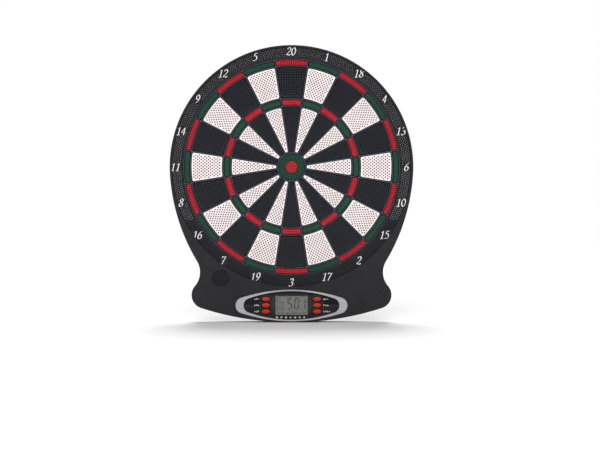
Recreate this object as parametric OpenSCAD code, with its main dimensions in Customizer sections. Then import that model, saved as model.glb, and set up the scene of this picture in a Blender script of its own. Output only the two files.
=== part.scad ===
// Electronic soft-tip dartboard with a round target head and a control panel in its base.
// The wall plane is y = 0, the board faces -Y, and the origin is the bull's axis on the wall.
// Depths are measured from the wall plane towards the player.

/* [Case] */
// Depth from the wall plane to the front face
case_d = 28; // [28:0.5:31]
// Wall thickness of the mouldings
wall = 2.2; // [1.8:0.1:2.6]
// Depth of the joint between the rear and front mouldings
joint_d = 13; // [12.5:0.1:13.2]
// Height of the shoulder above which the rear moulding is only a round pan
shoulder_z = -84; // [-90:1:-80]
// Outer radius of the round pan behind the target
pan_r = 176.4; // [176:0.1:177]

/* [Outline] */
// Radius of the round head
rim_r = 195; // [194:0.5:198]
// Angle below the horizontal where the head runs into the flank
flank_start = 4; // [2:0.5:8]
// Radius of the flank
flank_r = 310; // [290:5:330]
// Radius of the hollow waist
waist_r = 34; // [30:1:40]
// Radius of the base's round corners
lobe_r = 22; // [20:1:24]
// Distance of the corner centres from the middle
lobe_x = 138; // [134:1:142]
// Height of the corner centres
lobe_z = -205; // [-208:1:-203]
// Radius of the bottom edge
base_r = 470; // [460:5:490]

/* [Target] */
// Radius of the bullseye
bull_r = 9; // [8.8:0.1:9.1]
// Radii of the web circles, from the bull outwards
web_radii = [22.5, 97.4, 109.5, 161.8, 172.7];
// Thickness of a web
web_t = 1.5; // [1.2:0.1:1.6]
// Depth of the segments' front faces
segment_d = 26.6; // [26:0.1:27]
// How far a segment moves when it is hit
segment_travel = 1.2; // [0.8:0.1:1.2]
// Radius of a hole for a dart's tip
tip_hole_r = 1.15; // [1.0:0.05:1.3]

/* [Control panel] */
// Height of the panel's centre
panel_z = -221.6; // [-222:0.1:-221]
// Half width and half height of the silver trim
trim_half = [89.6, 25.2];
// Half width and half height of the black fascia
fascia_half = [76.2, 22.1];
// Visible size of the display window
window = [52, 31];
// Half width and half height of a button
button_half = [6.5, 3.7];
// Distance of the button columns from the middle
button_x = 41; // [40:0.5:42]
// Distance from button to button
button_pitch = 10; // [9.8:0.1:10.2]
// How far a button stands out of the fascia
button_proud = 1.4; // [1.2:0.1:1.6]

/* [Speaker and batteries] */
// Centre of the speaker
speaker_at = [-113, -178];
// Radius of the grille
grille_r = 15; // [13:0.5:15.5]
// Middle of the battery bay
bay_at = [102, -194];
// Radius and length of an AA cell
cell = [7.1, 50.2];

/* [Wall fixing] */
// Distance between the keyholes
keyhole_x = 120; // [110:1:124]
// Height of the keyholes
keyhole_z = 110; // [106:1:112]
// Radius of a keyhole's round entry
keyhole_r = 4.5; // [4.2:0.1:5]

/* [Hidden] */
$fn = 96;

charcoal = [0.17, 0.17, 0.18];
black = [0.08, 0.08, 0.09];
silver = [0.68, 0.68, 0.70];
steel = [0.62, 0.63, 0.65];
copper_green = [0.10, 0.33, 0.18];

// Clockwise from the top
NUMBERS = [20, 1, 18, 4, 13, 6, 10, 15, 2, 17, 3, 19, 7, 16, 8, 11, 14, 9, 12, 5];
BUTTONS = ["button_l1", "button_l2", "button_l3", "button_r1", "button_r2", "button_r3"];
beds = len(NUMBERS);
bed_angle = 360 / beds;

far = 600;
eps = 0.01;

// Depths of the layers behind the target
board_d0 = 7;
board_d1 = 10;
film_t = 0.3;
mat_d0 = board_d1 + 3 * film_t;
mat_d1 = mat_d0 + 1.6;
nub_d1 = mat_d1 + 1;
segment_d0 = 15;
flange_d1 = segment_d0 + 1.6;
web_d0 = flange_d1 + 0.3;
web_d1 = segment_d + 0.6;
lip_d1 = web_d0 + 1.9;
face_d0 = case_d - wall;

// Radii of the rings around the target
web_outer_r = web_radii[4] + 0.6;
lip_r = 174.3;
pan_in_r = pan_r - 1.8;
collar_in_r = web_outer_r + 0.3;
ring_in_r = web_outer_r + 0.4;
ring_out_r = 191;
seat_r = ring_out_r + 0.3;
seat_in_r = 190.4;
ring_d0 = 24;
ring_d1 = 27;
ear_r = 183;

// Clearances around the segments, measured from a web's middle line
body_gap = web_t / 2 + 1.15;
flange_gap = 0.4;
pocket_gap = body_gap + 1.8;
pocket_d1 = segment_d - 3.6;

// Layers of the control panel
ledge_d0 = 23;
ledge_d1 = 25.4;
fascia_d1 = 28.4;
trim_d1 = 30;
circuit_d0 = 20;
circuit_d1 = 21.6;
circuit_size = [132, 35];
circuit_screw = [62, 14];
ledge_open = [74, 21.5];
button_d0 = 24.5;

// Battery bay and its door
bay_in = [48.8, 60.8];
bay_wall = 1.6;
bay_d1 = 18.6;
door_open = [51.2, 61.2];
door_t = 2;
hinge_d = 1.8;
hinge_z = bay_at[1] + bay_in[1] / 2 - 2.4;
knuckle_x = bay_in[0] / 2 - 0.4;
pin_r = 1;
cell_d = 11;
cell_pitch = 16;
bay_z0 = bay_at[1] - bay_in[1] / 2;
cell_z0 = bay_z0 + 9.8;

// Screw places on the case
EARS = [0, 2, 4, -2, -4];
BASE_SCREWS = [[153, -125], [144, -200], [88, -233]];
board_screw_r = 120;

// ---- helpers -------------------------------------------------------------

// Extrudes a front-view outline between two depths from the wall
module layer(d0, d1) {
    translate([0, -d0, 0]) rotate([90, 0, 0]) linear_extrude(d1 - d0) children();
}

// Turns a radius-and-depth profile about an axis through a front-view point
module turned(at) {
    translate([at[0], 0, at[1]]) rotate([90, 0, 0]) rotate_extrude() children();
}

// Extrudes a depth-and-height profile across the board
module across(x0, x1) {
    translate([x0, 0, 0]) mirror([0, 1, 0]) rotate([90, 0, 90]) linear_extrude(x1 - x0) children();
}

module ring(r0, r1) {
    difference() {
        circle(r1, $fn = 240);
        circle(r0, $fn = 240);
    }
}

module box(size) {
    square(size, center = true);
}

module both() {
    children();
    mirror([1, 0]) children();
}

function polar(r, a) = [r * cos(a), r * sin(a)];

// Crossing point of two circles that lies to the left of the line from a to b
function crossing(a, ra, b, rb) =
    let (v = b - a, d = norm(v), m = (ra * ra - rb * rb + d * d) / (2 * d),
         h = sqrt(ra * ra - m * m), u = v / d)
    a + u * m + [-u[1], u[0]] * h;

// Points of an arc, in steps of the given angle or a little less
function arc(c, r, a0, a1, step) =
    let (n = ceil(abs(a1 - a0) / step)) [for (i = [0:n]) c + polar(r, a0 + (a1 - a0) * i / n)];
function bearing(v) = atan2(v[1], v[0]);
function inner(points) = [for (i = [1:len(points) - 2]) points[i]];
function flipped(points) = [for (i = [len(points) - 1:-1:0]) [-points[i][0], points[i][1]]];

// Oval of four arcs; the end radius grows with the height
module oval(half, shrink = 0) {
    end_r = half[1] * 0.52;
    end_c = [half[0] - end_r, 0];
    side_r = (end_c[0] * end_c[0] + half[1] * half[1] - end_r * end_r) / (2 * (half[1] - end_r));
    meet_a = bearing([end_c[0], side_r - half[1]]);
    side_step = half[1] > 10 ? 1.5 : 5;
    end_step = half[1] > 10 ? 7.5 : 15;
    top = arc([0, half[1] - side_r], side_r - shrink, 90, meet_a, side_step);
    end = arc(end_c, end_r - shrink, meet_a, -meet_a, end_step);
    bottom = arc([0, side_r - half[1]], side_r - shrink, -meet_a, -90, side_step);
    right = concat(inner(top), end, inner(bottom));
    polygon(concat([top[0]], right, [bottom[len(bottom) - 1]], flipped(right)));
}

// ---- case outline --------------------------------------------------------

flank_c = polar(rim_r - flank_r, -flank_start);
lobe_c = [lobe_x, lobe_z];
waist_c = crossing(flank_c, flank_r + waist_r, lobe_c, lobe_r + waist_r);
base_c = [0, lobe_z + sqrt(pow(base_r - lobe_r, 2) - lobe_x * lobe_x)];
flank_a = bearing(waist_c - flank_c);
waist_a = bearing(waist_c - lobe_c);
base_a = bearing(lobe_c - base_c);

// Whole outline of the board, moved inwards by shrink
module outline(shrink = 0) {
    rim = arc([0, 0], rim_r - shrink, 90, -flank_start, 2);
    flank = arc(flank_c, flank_r - shrink, -flank_start, flank_a, 1.5);
    waist = arc(waist_c, waist_r + shrink, flank_a + 180, waist_a + 180, 6);
    lobe = arc(lobe_c, lobe_r - shrink, waist_a, base_a, 7.5);
    base = arc(base_c, base_r - shrink, base_a, -90, 1.25);
    right = concat(inner(rim), flank, inner(waist), lobe, inner(base));
    polygon(concat([rim[0]], right, [base[len(base) - 1]], flipped(right)));
}

module below(z) {
    translate([0, z - far / 2]) box([2 * far, far]);
}

module above(z) {
    translate([0, z + far / 2]) box([2 * far, far]);
}

// Outline of the rear moulding: a round pan above the shoulder, the full outline below it
module rear_plan(shrink = 0) {
    circle(pan_r - shrink, $fn = 360);
    intersection() {
        outline(shrink);
        below(shoulder_z - shrink);
    }
}

module at_base_screws() {
    for (p = BASE_SCREWS, side = [-1, 1]) translate([side * p[0], p[1]]) children();
}

module at_ears() {
    for (k = EARS) rotate(k * bed_angle) translate([0, ear_r]) children();
}

module at_board_screws() {
    for (k = [0:7]) rotate(22.5 + 45 * k) translate([board_screw_r, 0]) children();
}

module at_keyholes() {
    for (side = [-1, 1]) translate([side * keyhole_x / 2, keyhole_z]) children();
}

module at_circuit_screws() {
    for (sx = [-1, 1], sz = [-1, 1])
        translate([sx * circuit_screw[0], panel_z + sz * circuit_screw[1]]) children();
}

// ---- case mouldings ------------------------------------------------------

module apron_plan(shrink) {
    difference() {
        outline(shrink);
        circle(seat_r, $fn = 360);
    }
}

module grille_slots() {
    for (k = [-3:3]) {
        half = sqrt(grille_r * grille_r - pow(3.7 * k, 2)) - 1.2;
        translate(speaker_at + [0, 3.7 * k]) {
            box([2 * half, 1.7]);
            both() translate([half, 0]) circle(0.85, $fn = 24);
        }
    }
}

module front_housing() {
    color(charcoal) difference() {
        union() {
            layer(face_d0, case_d - 1.4) apron_plan(0);
            layer(case_d - 1.4, case_d - 0.6) apron_plan(0.8);
            layer(case_d - 0.6, case_d) apron_plan(2);
            layer(joint_d, face_d0) intersection() {
                difference() {
                    outline(0);
                    outline(wall);
                }
                below(shoulder_z);
            }
            layer(16, face_d0) intersection() {
                apron_plan(0);
                above(shoulder_z - 1);
            }
            layer(joint_d, ring_d0) intersection() {
                apron_shoulder();
                below(shoulder_z);
                above(shoulder_z - wall);
            }
            layer(joint_d, lip_d1 + 0.2) ring(pan_in_r, pan_r);
            layer(lip_d1 + 0.2, ring_d0) ring(collar_in_r, pan_r);
            layer(22, ring_d0) ring(seat_in_r, seat_r + 1.2);
            layer(ring_d0, face_d0) ring(seat_r, seat_r + 1.2);
            layer(18, ring_d0) for (k = [0:beds - 1])
                rotate(k * bed_angle) translate([-0.8, pan_r - 0.5]) square([1.6, seat_r + 0.8 - pan_r]);
            layer(joint_d, ring_d0) at_ears() circle(4);
            layer(joint_d, face_d0 + 0.2) at_base_screws() circle(4);
            panel_ledge();
            layer(circuit_d1, ledge_d0 + 0.2) at_circuit_screws() circle(2.6);
            layer(17, face_d0 + 0.2) translate(speaker_at) ring(17.3, 18.6);
            layer(15.6, face_d0 + 0.2) translate(speaker_at) both() translate([21, 0]) circle(2.8);
        }
        layer(ledge_d1, case_d + 1) translate([0, panel_z]) oval(trim_half + [0.3, 0.3]);
        layer(face_d0 - 1, case_d + 1) grille_slots();
        layer(joint_d - 1, ring_d0 - 1) at_ears() circle(1.25);
        layer(joint_d - 1, face_d0 - 1) at_base_screws() circle(1.25);
        layer(circuit_d0, ledge_d1 - 0.6) at_circuit_screws() circle(1.0);
        layer(15, face_d0 - 1) translate(speaker_at) both() translate([21, 0]) circle(1.0);
    }
}

module apron_shoulder() {
    difference() {
        outline(0);
        circle(pan_r - 0.5, $fn = 360);
    }
}

module panel_ledge() {
    layer(ledge_d0, face_d0 + 0.2) difference() {
        intersection() {
            outline(0.6);
            translate([0, panel_z]) oval(trim_half + [3.4, 3.4]);
        }
        translate([0, panel_z]) oval(ledge_open);
    }
}

module rear_housing() {
    color(charcoal) difference() {
        union() {
            layer(0, wall) rear_plan(0);
            layer(wall - eps, joint_d) difference() {
                rear_plan(0);
                rear_plan(wall - 0.4);
            }
            layer(wall - eps, board_d0) {
                ring(58, 60);
                ring(148, 150);
                for (k = [0:7]) rotate(45 * k) translate([59, -0.8]) square([90, 1.6]);
                at_board_screws() circle(4);
            }
            layer(wall - eps, 9.5) intersection() {
                ring(pan_in_r, pan_r);
                below(shoulder_z);
            }
            layer(8, joint_d) at_ears() {
                circle(4.5);
                translate([-4, 4 - (ear_r - pan_r) - 5]) square([8, 5 + ear_r - pan_r - 4]);
            }
            layer(0, joint_d) at_base_screws() circle(4.5);
            layer(wall - eps, bay_d1 + bay_wall) translate(bay_at) box(bay_in + 2 * [bay_wall, bay_wall]);
            layer(0, 4.6) hinge_blocks();
        }
        layer(-1, bay_d1) translate(bay_at) box(bay_in);
        layer(-1, wall) translate(bay_at) box(door_open);
        layer(-1, 1.4) translate(bay_at - [0, door_open[1] / 2]) circle(7);
        layer(-1, board_d0 - 0.5) at_keyholes() {
            circle(keyhole_r);
            translate([-2.2, 0]) square([4.4, 12]);
            translate([0, 12]) circle(2.2);
        }
        layer(-1, joint_d + 1) at_base_screws() circle(1.7);
        layer(-1, 4) at_base_screws() circle(3.3);
        layer(7, joint_d + 1) at_ears() circle(1.7);
        layer(7, 10) at_ears() circle(3.3);
        layer(wall, board_d0 + 1) at_board_screws() circle(1.25);
        back_grooves();
        translate([bay_at[0] - knuckle_x - 3.4, -hinge_d, hinge_z]) rotate([0, 90, 0])
            cylinder(r = pin_r + 0.05, h = 2 * knuckle_x + 6.8, $fn = 48);
    }
}

// Shallow stiffening channels in the back face
module back_grooves() {
    layer(-1, 0.8) {
        ring(66, 69);
        ring(138, 141);
        for (k = [0:11]) rotate(15 + 30 * k) translate([72, -1.5]) square([63, 3]);
        translate([0, -206]) difference() {
            box([96, 34]);
            box([90, 28]);
        }
    }
}

// Blocks at the sides of the bay that hold the door's pins
module hinge_blocks() {
    for (side = [-1, 1])
        translate([bay_at[0] + side * 27, hinge_z]) box([4, 6]);
}

module number_ring() {
    color(black) {
        layer(ring_d0, ring_d1 - 0.6) ring(ring_in_r, ring_out_r);
        layer(ring_d1 - 0.6, ring_d1) ring(ring_in_r + 0.6, ring_out_r - 0.6);
    }
}

// ---- target --------------------------------------------------------------

module spider_web() {
    color(black) {
        layer(web_d0, web_d1) {
            for (k = [0:3]) ring(web_radii[k] - web_t / 2, web_radii[k] + web_t / 2);
            ring(web_radii[4] - web_t / 2, web_outer_r);
            for (k = [0:beds - 1])
                rotate((k + 0.5) * bed_angle) translate([-web_t / 2, web_radii[0]])
                    square([web_t, web_radii[4] - web_radii[0]]);
        }
        layer(web_d0, lip_d1) ring(web_radii[4], lip_r);
    }
}

// Part of a ring that belongs to bed k, kept clear of its neighbours by gap
module bed_plan(k, r0, r1, gap) {
    reach = 250;
    half = bed_angle / 2;
    rotate(-k * bed_angle) intersection() {
        ring(r0 + gap, r1 - gap);
        translate([0, gap / sin(half)])
            polygon([[0, 0], [-reach * tan(half), reach], [reach * tan(half), reach]]);
    }
}

module bed(k) {
    is_dark = k % 2 == 0;
    for (s = [0:3]) {
        scoring = s % 2 == 1;
        tone = scoring ? (is_dark ? [0.72, 0.12, 0.16] : [0.12, 0.34, 0.24])
                       : (is_dark ? black : [0.93, 0.89, 0.87]);
        r0 = web_radii[s];
        r1 = web_radii[s + 1];
        color(tone) difference() {
            union() {
                layer(segment_d0, flange_d1) bed_plan(k, r0, r1, flange_gap);
                layer(flange_d1 - eps, segment_d) bed_plan(k, r0, r1, body_gap);
            }
            layer(segment_d0 - 1, pocket_d1) bed_plan(k, r0, r1, pocket_gap);
        }
    }
}

// Middle of each segment, where the mat's nub presses the films
module at_nubs() {
    for (k = [0:beds - 1], s = [0:3])
        rotate(k * bed_angle) translate([0, (web_radii[s] + web_radii[s + 1]) / 2]) children();
    for (x = [-15, 0, 15]) translate([x, 0]) children();
}

module bullseye() {
    color([0.72, 0.12, 0.16]) difference() {
        union() {
            layer(segment_d0, segment_d0 + 1.2) circle(bull_r + 1.4);
            layer(segment_d0, segment_d - 0.2) circle(bull_r);
            layer(segment_d - 0.3, segment_d + 0.2) circle(bull_r - 0.4);
        }
        layer(segment_d0 - 1, segment_d + 1) {
            circle(tip_hole_r);
            for (k = [0:4]) rotate(72 * k) translate([3.3, 0]) circle(tip_hole_r, $fn = 24);
            for (k = [0:9]) rotate(36 * k) translate([6.5, 0]) circle(tip_hole_r, $fn = 24);
        }
    }
}

module outer_bull() {
    outer_r = web_radii[0] - body_gap;
    color([0.12, 0.34, 0.24]) difference() {
        union() {
            layer(segment_d0, flange_d1) circle(web_radii[0] - flange_gap);
            layer(segment_d0, segment_d) circle(outer_r);
        }
        layer(segment_d0 - 1, segment_d + 1) {
            circle(bull_r + 0.4);
            for (row = [0:2], k = [0:15 + 5 * row])
                rotate((k + row / 2) * 360 / (16 + 5 * row)) translate([12.2 + 3.1 * row, 0])
                    circle(tip_hole_r, $fn = 24);
        }
        layer(segment_d0 - 1, segment_d0 + 2.6) circle(bull_r + 1.8);
    }
}

module rubber_mat() {
    color([0.2, 0.2, 0.21]) {
        layer(mat_d0, mat_d1) circle(lip_r - 0.1, $fn = 240);
        layer(mat_d1, web_d0) ring(web_radii[4] + 0.2, lip_r - 0.1);
        layer(mat_d1, nub_d1) at_nubs() circle(2, $fn = 24);
    }
}

module upper_film() {
    color([0.85, 0.86, 0.8]) layer(board_d1 + 2 * film_t, mat_d0) circle(172, $fn = 240);
}

module spacer_film() {
    color([0.9, 0.9, 0.9]) layer(board_d1 + film_t, board_d1 + 2 * film_t) difference() {
        circle(172, $fn = 240);
        at_nubs() circle(3.4, $fn = 32);
    }
}

// Round film with a tail that runs down and forward to the circuit board
module lower_film() {
    bend_z = -209;
    color([0.8, 0.82, 0.75]) {
        layer(board_d1, board_d1 + film_t) circle(172, $fn = 240);
        across(-8, 8) {
            translate([board_d1, bend_z]) square([film_t, -165 - bend_z]);
            translate([board_d1, bend_z]) square([circuit_d0 - board_d1, film_t]);
            translate([circuit_d0 - film_t, bend_z - 7]) square([film_t, 7 + film_t]);
        }
    }
}

module tail_clamp() {
    color(black) layer(17.4, circuit_d0 - film_t) difference() {
        translate([0, -213]) box([26, 4.6]);
        both() translate([10.6, -213]) circle(1.1, $fn = 24);
    }
}

module backing_board() {
    color([0.45, 0.33, 0.22]) difference() {
        layer(board_d0, board_d1) circle(pan_in_r - 0.8, $fn = 240);
        layer(board_d0 - 1, board_d1 + 1) at_board_screws() circle(1.7);
        layer(board_d1 - 1.2, board_d1 + 1) at_board_screws() circle(3);
    }
}

// ---- control panel -------------------------------------------------------

module at_buttons() {
    for (side = [-1, 1], row = [-1:1])
        translate([side * button_x, panel_z - row * button_pitch]) children();
}

module control_panel() {
    color(black) difference() {
        layer(ledge_d1, fascia_d1) translate([0, panel_z]) oval(fascia_half);
        layer(ledge_d1 - 1, fascia_d1 + 1) translate([0, panel_z]) box(window);
        layer(fascia_d1 - 1.5, fascia_d1 + 1) translate([0, panel_z]) box(window + [2, 2]);
        layer(ledge_d1 - 1, fascia_d1 + 1) at_buttons() oval(button_half + [0.4, 0.4]);
    }
}

module trim_ring() {
    color(silver) {
        layer(ledge_d1, trim_d1 - 0.8) translate([0, panel_z]) difference() {
            oval(trim_half);
            oval(fascia_half + [0.3, 0.3]);
        }
        layer(trim_d1 - 0.8, trim_d1) translate([0, panel_z]) difference() {
            oval(trim_half, 0.8);
            oval(fascia_half + [1.1, 1.1]);
        }
    }
}

module lcd_window() {
    color([0.8, 0.85, 0.85, 0.4])
        layer(fascia_d1 - 1.5, fascia_d1 - 0.3) translate([0, panel_z]) box(window + [1.6, 1.6]);
}

module lcd_glass() {
    color([0.45, 0.47, 0.42])
        layer(23.4, 25) translate([0, panel_z]) box([54, 34]);
}

module lcd_frame() {
    color([0.85, 0.85, 0.85]) layer(circuit_d1, 25.2) translate([0, panel_z]) difference() {
        box([59, 37]);
        box([54.6, 34.6]);
    }
}

module zebra_strip() {
    color([0.75, 0.5, 0.5]) layer(circuit_d1, 23.4) translate([0, panel_z - 15.4]) box([50, 2.2]);
}

module key_pad() {
    color([0.55, 0.55, 0.57]) {
        layer(circuit_d1, 22.6) translate([0, panel_z]) both() translate([button_x, 0]) box([14, 32]);
        layer(22.6, 23.4) at_buttons() circle(2.6, $fn = 32);
    }
}

module button(i) {
    side = i < 3 ? -1 : 1;
    row = i % 3 - 1;
    top_d = fascia_d1 + button_proud;
    color([0.85, 0.16, 0.10]) translate([side * button_x, 0, panel_z - row * button_pitch]) {
        layer(button_d0, button_d0 + 0.6) oval(button_half + [0.9, 0.8]);
        layer(button_d0, top_d - 0.6) oval(button_half);
        layer(top_d - 0.6, top_d) oval(button_half, 0.6);
    }
}

module circuit_board() {
    color(copper_green) difference() {
        layer(circuit_d0, circuit_d1) translate([0, panel_z]) box(circuit_size);
        layer(circuit_d0 - 1, circuit_d1 + 1) at_circuit_screws() circle(1.4, $fn = 32);
        layer(circuit_d0 - 1, circuit_d1 + 1)
            both() translate([10.6, -213]) circle(0.9, $fn = 24);
    }
}

// Chip under its cap of resin, crystal, capacitors and wire sockets
module circuit_parts() {
    color([0.12, 0.12, 0.13]) {
        layer(18.6, circuit_d0) translate([24, -226]) circle(7.5);
        layer(17.2, circuit_d0) translate([-24, -229]) circle(2.6, $fn = 32);
        layer(17.2, circuit_d0) translate([-33, -229]) circle(2.6, $fn = 32);
        layer(17, circuit_d0) translate([6, -231]) box([9, 3.4]);
        layer(16.4, circuit_d0) both() translate([54, -218]) box([5, 8]);
    }
}

// ---- speaker -------------------------------------------------------------

module speaker_basket() {
    color(steel) turned(speaker_at) polygon([
        [8.3, 19], [10, 19], [15.2, 22.6], [17, 22.6], [17, 24.4], [14.7, 24.4],
        [14.7, 23.4], [9.6, 20], [8.3, 20],
    ]);
}

module speaker_magnet() {
    color([0.3, 0.3, 0.32]) {
        layer(15.6, 19.6) translate(speaker_at) circle(8);
        layer(19.6, 20.4) translate(speaker_at) circle(3.4, $fn = 48);
    }
}

module speaker_cone() {
    color([0.25, 0.24, 0.22]) turned(speaker_at) polygon([
        [0, 21.4], [4, 20.8], [14.4, 23.9], [14.4, 24.3], [4, 21.2], [0, 21.8],
    ]);
}

module speaker_clamp() {
    color(black) difference() {
        layer(13.8, 15.6) translate(speaker_at) box([48, 7]);
        layer(13, 16) translate(speaker_at) both() translate([21, 0]) circle(1.4, $fn = 32);
    }
}

// ---- batteries -----------------------------------------------------------

module at_cells() {
    for (k = [-1:1]) translate([bay_at[0] + k * cell_pitch, -cell_d, 0]) children();
}

module batteries() {
    color([0.20, 0.22, 0.24]) at_cells() translate([0, 0, cell_z0]) {
        cylinder(r = cell[0], h = cell[1] - 1);
        cylinder(r = 2.75, h = cell[1], $fn = 48);
    }
}

module battery_springs() {
    height = cell_z0 - bay_z0 - 0.5;
    color(steel) at_cells() translate([0, 0, bay_z0 + 0.4]) rotate_extrude()
        polygon([[3.8, 0], [4.8, 0], [3, height], [2, height]]);
}

module battery_plates() {
    top_z = cell_z0 + cell[1];
    color(steel) {
        at_cells() translate([-6, -5, top_z + 0.1]) cube([12, 10, 0.5]);
        at_cells() translate([-6, -5, bay_z0]) cube([12, 10, 0.4]);
    }
}

module battery_door() {
    bottom_z = bay_at[1] - door_open[1] / 2 + 0.4;
    side_x = door_open[0] / 2 - 0.4;
    color(charcoal) {
        difference() {
            union() {
                layer(0, door_t) translate([bay_at[0] - side_x, bottom_z])
                    square([2 * side_x, hinge_z - bottom_z]);
                translate([bay_at[0] - knuckle_x, -hinge_d, hinge_z]) rotate([0, 90, 0])
                    cylinder(r = hinge_d, h = 2 * knuckle_x);
            }
            layer(-1, 0.6) for (k = [0:4])
                translate([bay_at[0], bottom_z + 6 + 3 * k]) box([26, 1.2]);
        }
        translate([bay_at[0] - knuckle_x - 3, -hinge_d, hinge_z]) rotate([0, 90, 0])
            cylinder(r = pin_r, h = 2 * knuckle_x + 6, $fn = 48);
    }
}

// ---- screws and wires ----------------------------------------------------

module screw(d0, head_r, head_h, shank_r, length) {
    difference() {
        layer(d0, d0 + head_h) circle(head_r, $fn = 48);
        layer(d0 - 1, d0 + 0.8) for (a = [0, 90]) rotate(a) box([head_r * 1.2, 0.7]);
    }
    layer(d0 + head_h - eps, d0 + length) circle(shank_r, $fn = 32);
}

module housing_screws() {
    color(steel) {
        for (k = EARS) translate([-ear_r * sin(k * bed_angle), 0, ear_r * cos(k * bed_angle)])
            screw(8, 2.9, 2, 1.2, 14);
        for (p = BASE_SCREWS, side = [-1, 1]) translate([side * p[0], 0, p[1]])
            screw(2, 2.9, 2, 1.2, 20);
    }
}

module board_screws() {
    color(steel) for (k = [0:7]) {
        place = polar(board_screw_r, 22.5 + 45 * k);
        translate([place[0], 0, place[1]]) {
            layer(board_d1 - 1.1, board_d1) circle(2.7, $fn = 48);
            layer(3, board_d1 - 1.1 + eps) circle(1.2, $fn = 32);
        }
    }
}

module inner_screws() {
    color(steel) {
        for (sx = [-1, 1], sz = [-1, 1])
            translate([sx * circuit_screw[0], 0, panel_z + sz * circuit_screw[1]])
                screw(18.6, 2.2, 1.4, 0.95, 5.8);
        for (side = [-1, 1]) translate([speaker_at[0] + side * 21, 0, speaker_at[1]])
            screw(12.4, 2.4, 1.4, 0.95, 10);
        for (side = [-1, 1]) translate([side * 10.6, 0, -213])
            screw(16, 1.8, 1.4, 0.8, 5.4);
    }
}

wire_r = 0.7;

// Straight stretches of wire between points given as x, depth and height
module wire(points) {
    at = [for (p = points) [p[0], -p[1], p[2]]];
    for (i = [0:len(at) - 2]) {
        run = at[i + 1] - at[i];
        translate(at[i]) rotate([0, acos(run[2] / norm(run)), atan2(run[1], run[0])])
            cylinder(r = wire_r, h = norm(run), $fn = 24);
    }
    for (i = [1:len(at) - 2]) translate(at[i]) sphere(wire_r, $fn = 24);
}

module battery_leads() {
    edge_x = bay_at[0] - bay_in[0] / 2 - bay_wall;
    color([0.7, 0.1, 0.1]) wire([[edge_x, 13, -216], [54, 13, -216], [54, 16.4, -216]]);
    color([0.1, 0.1, 0.1]) wire([[edge_x, 13, -220], [54, 13, -220], [54, 16.4, -220]]);
}

module speaker_leads() {
    start = speaker_at[0] + 14.4;
    color([0.7, 0.1, 0.1])
        wire([[start, 22.6, -185], [start, 15, -185], [-54, 15, -185],
              [-54, 15, -216], [-54, 16.4, -216]]);
    color([0.1, 0.1, 0.1])
        wire([[start, 22.6, -171], [start, 12, -171], [-54, 12, -171],
              [-54, 12, -220], [-54, 16.4, -220]]);
}

front_housing();
rear_housing();
number_ring();
spider_web();
rubber_mat();
upper_film();
spacer_film();
lower_film();
tail_clamp();
backing_board();
control_panel();
trim_ring();
lcd_window();
lcd_glass();
lcd_frame();
zebra_strip();
key_pad();
circuit_board();
circuit_parts();
speaker_basket();
speaker_magnet();
speaker_cone();
speaker_clamp();
battery_plates();
battery_springs();
batteries();
battery_door();
housing_screws();
board_screws();
inner_screws();
battery_leads();
speaker_leads();
bullseye();
outer_bull();
for (k = [0:beds - 1]) bed(k);
for (i = [0:5]) button(i);
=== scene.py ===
"""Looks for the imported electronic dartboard.

Shapes are drawn as front-view loops of (x, z) points in millimetres and given depths from the
wall plane, as in the CAD source. Blender's own units are metres, in the same frame.
"""

import math
import random

import bmesh
import bpy
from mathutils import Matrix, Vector
from mathutils.geometry import delaunay_2d_cdt

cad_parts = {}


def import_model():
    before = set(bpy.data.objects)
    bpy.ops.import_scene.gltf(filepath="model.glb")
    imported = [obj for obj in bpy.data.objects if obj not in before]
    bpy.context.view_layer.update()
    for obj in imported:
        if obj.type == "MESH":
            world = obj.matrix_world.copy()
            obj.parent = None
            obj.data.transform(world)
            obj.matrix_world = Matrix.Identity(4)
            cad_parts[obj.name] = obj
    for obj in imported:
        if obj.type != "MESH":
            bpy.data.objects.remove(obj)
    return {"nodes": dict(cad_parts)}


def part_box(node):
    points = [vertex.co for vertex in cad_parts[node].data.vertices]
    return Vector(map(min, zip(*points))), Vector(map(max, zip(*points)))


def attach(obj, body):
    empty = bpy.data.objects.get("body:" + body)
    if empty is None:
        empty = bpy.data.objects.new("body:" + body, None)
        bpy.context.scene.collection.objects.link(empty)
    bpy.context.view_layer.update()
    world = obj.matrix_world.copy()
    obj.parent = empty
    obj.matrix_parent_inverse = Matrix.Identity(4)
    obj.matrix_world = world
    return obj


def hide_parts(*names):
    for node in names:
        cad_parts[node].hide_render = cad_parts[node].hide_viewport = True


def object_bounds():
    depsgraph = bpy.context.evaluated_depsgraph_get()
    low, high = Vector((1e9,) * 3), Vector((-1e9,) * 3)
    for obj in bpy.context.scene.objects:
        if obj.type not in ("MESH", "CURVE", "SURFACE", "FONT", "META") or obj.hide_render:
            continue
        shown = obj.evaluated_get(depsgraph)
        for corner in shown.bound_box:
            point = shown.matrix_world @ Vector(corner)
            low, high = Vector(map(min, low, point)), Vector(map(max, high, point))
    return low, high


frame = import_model()
cad_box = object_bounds()
nodes = frame["nodes"]
random.seed(20)

MM = 0.001

# ---- driving dimensions, mm ---------------------------------------------------------------

NUMBERS = [20, 1, 18, 4, 13, 6, 10, 15, 2, 17, 3, 19, 7, 16, 8, 11, 14, 9, 12, 5]
SECTOR = 360 / len(NUMBERS)
WEB_RADII = [22.5, 97.4, 109.5, 161.8, 172.7]
WEB_HALF = 0.75
SEGMENT_GAP = 1.9
BULL_R, OUTER_BULL_R, OUTER_BULL_IN_R = 9.0, 20.4, 10.9


def depth_of(node):
    """Nearest and furthest depth of a CAD node from the wall, in mm."""
    low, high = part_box(node)
    return -high[1] / MM, -low[1] / MM


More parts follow.
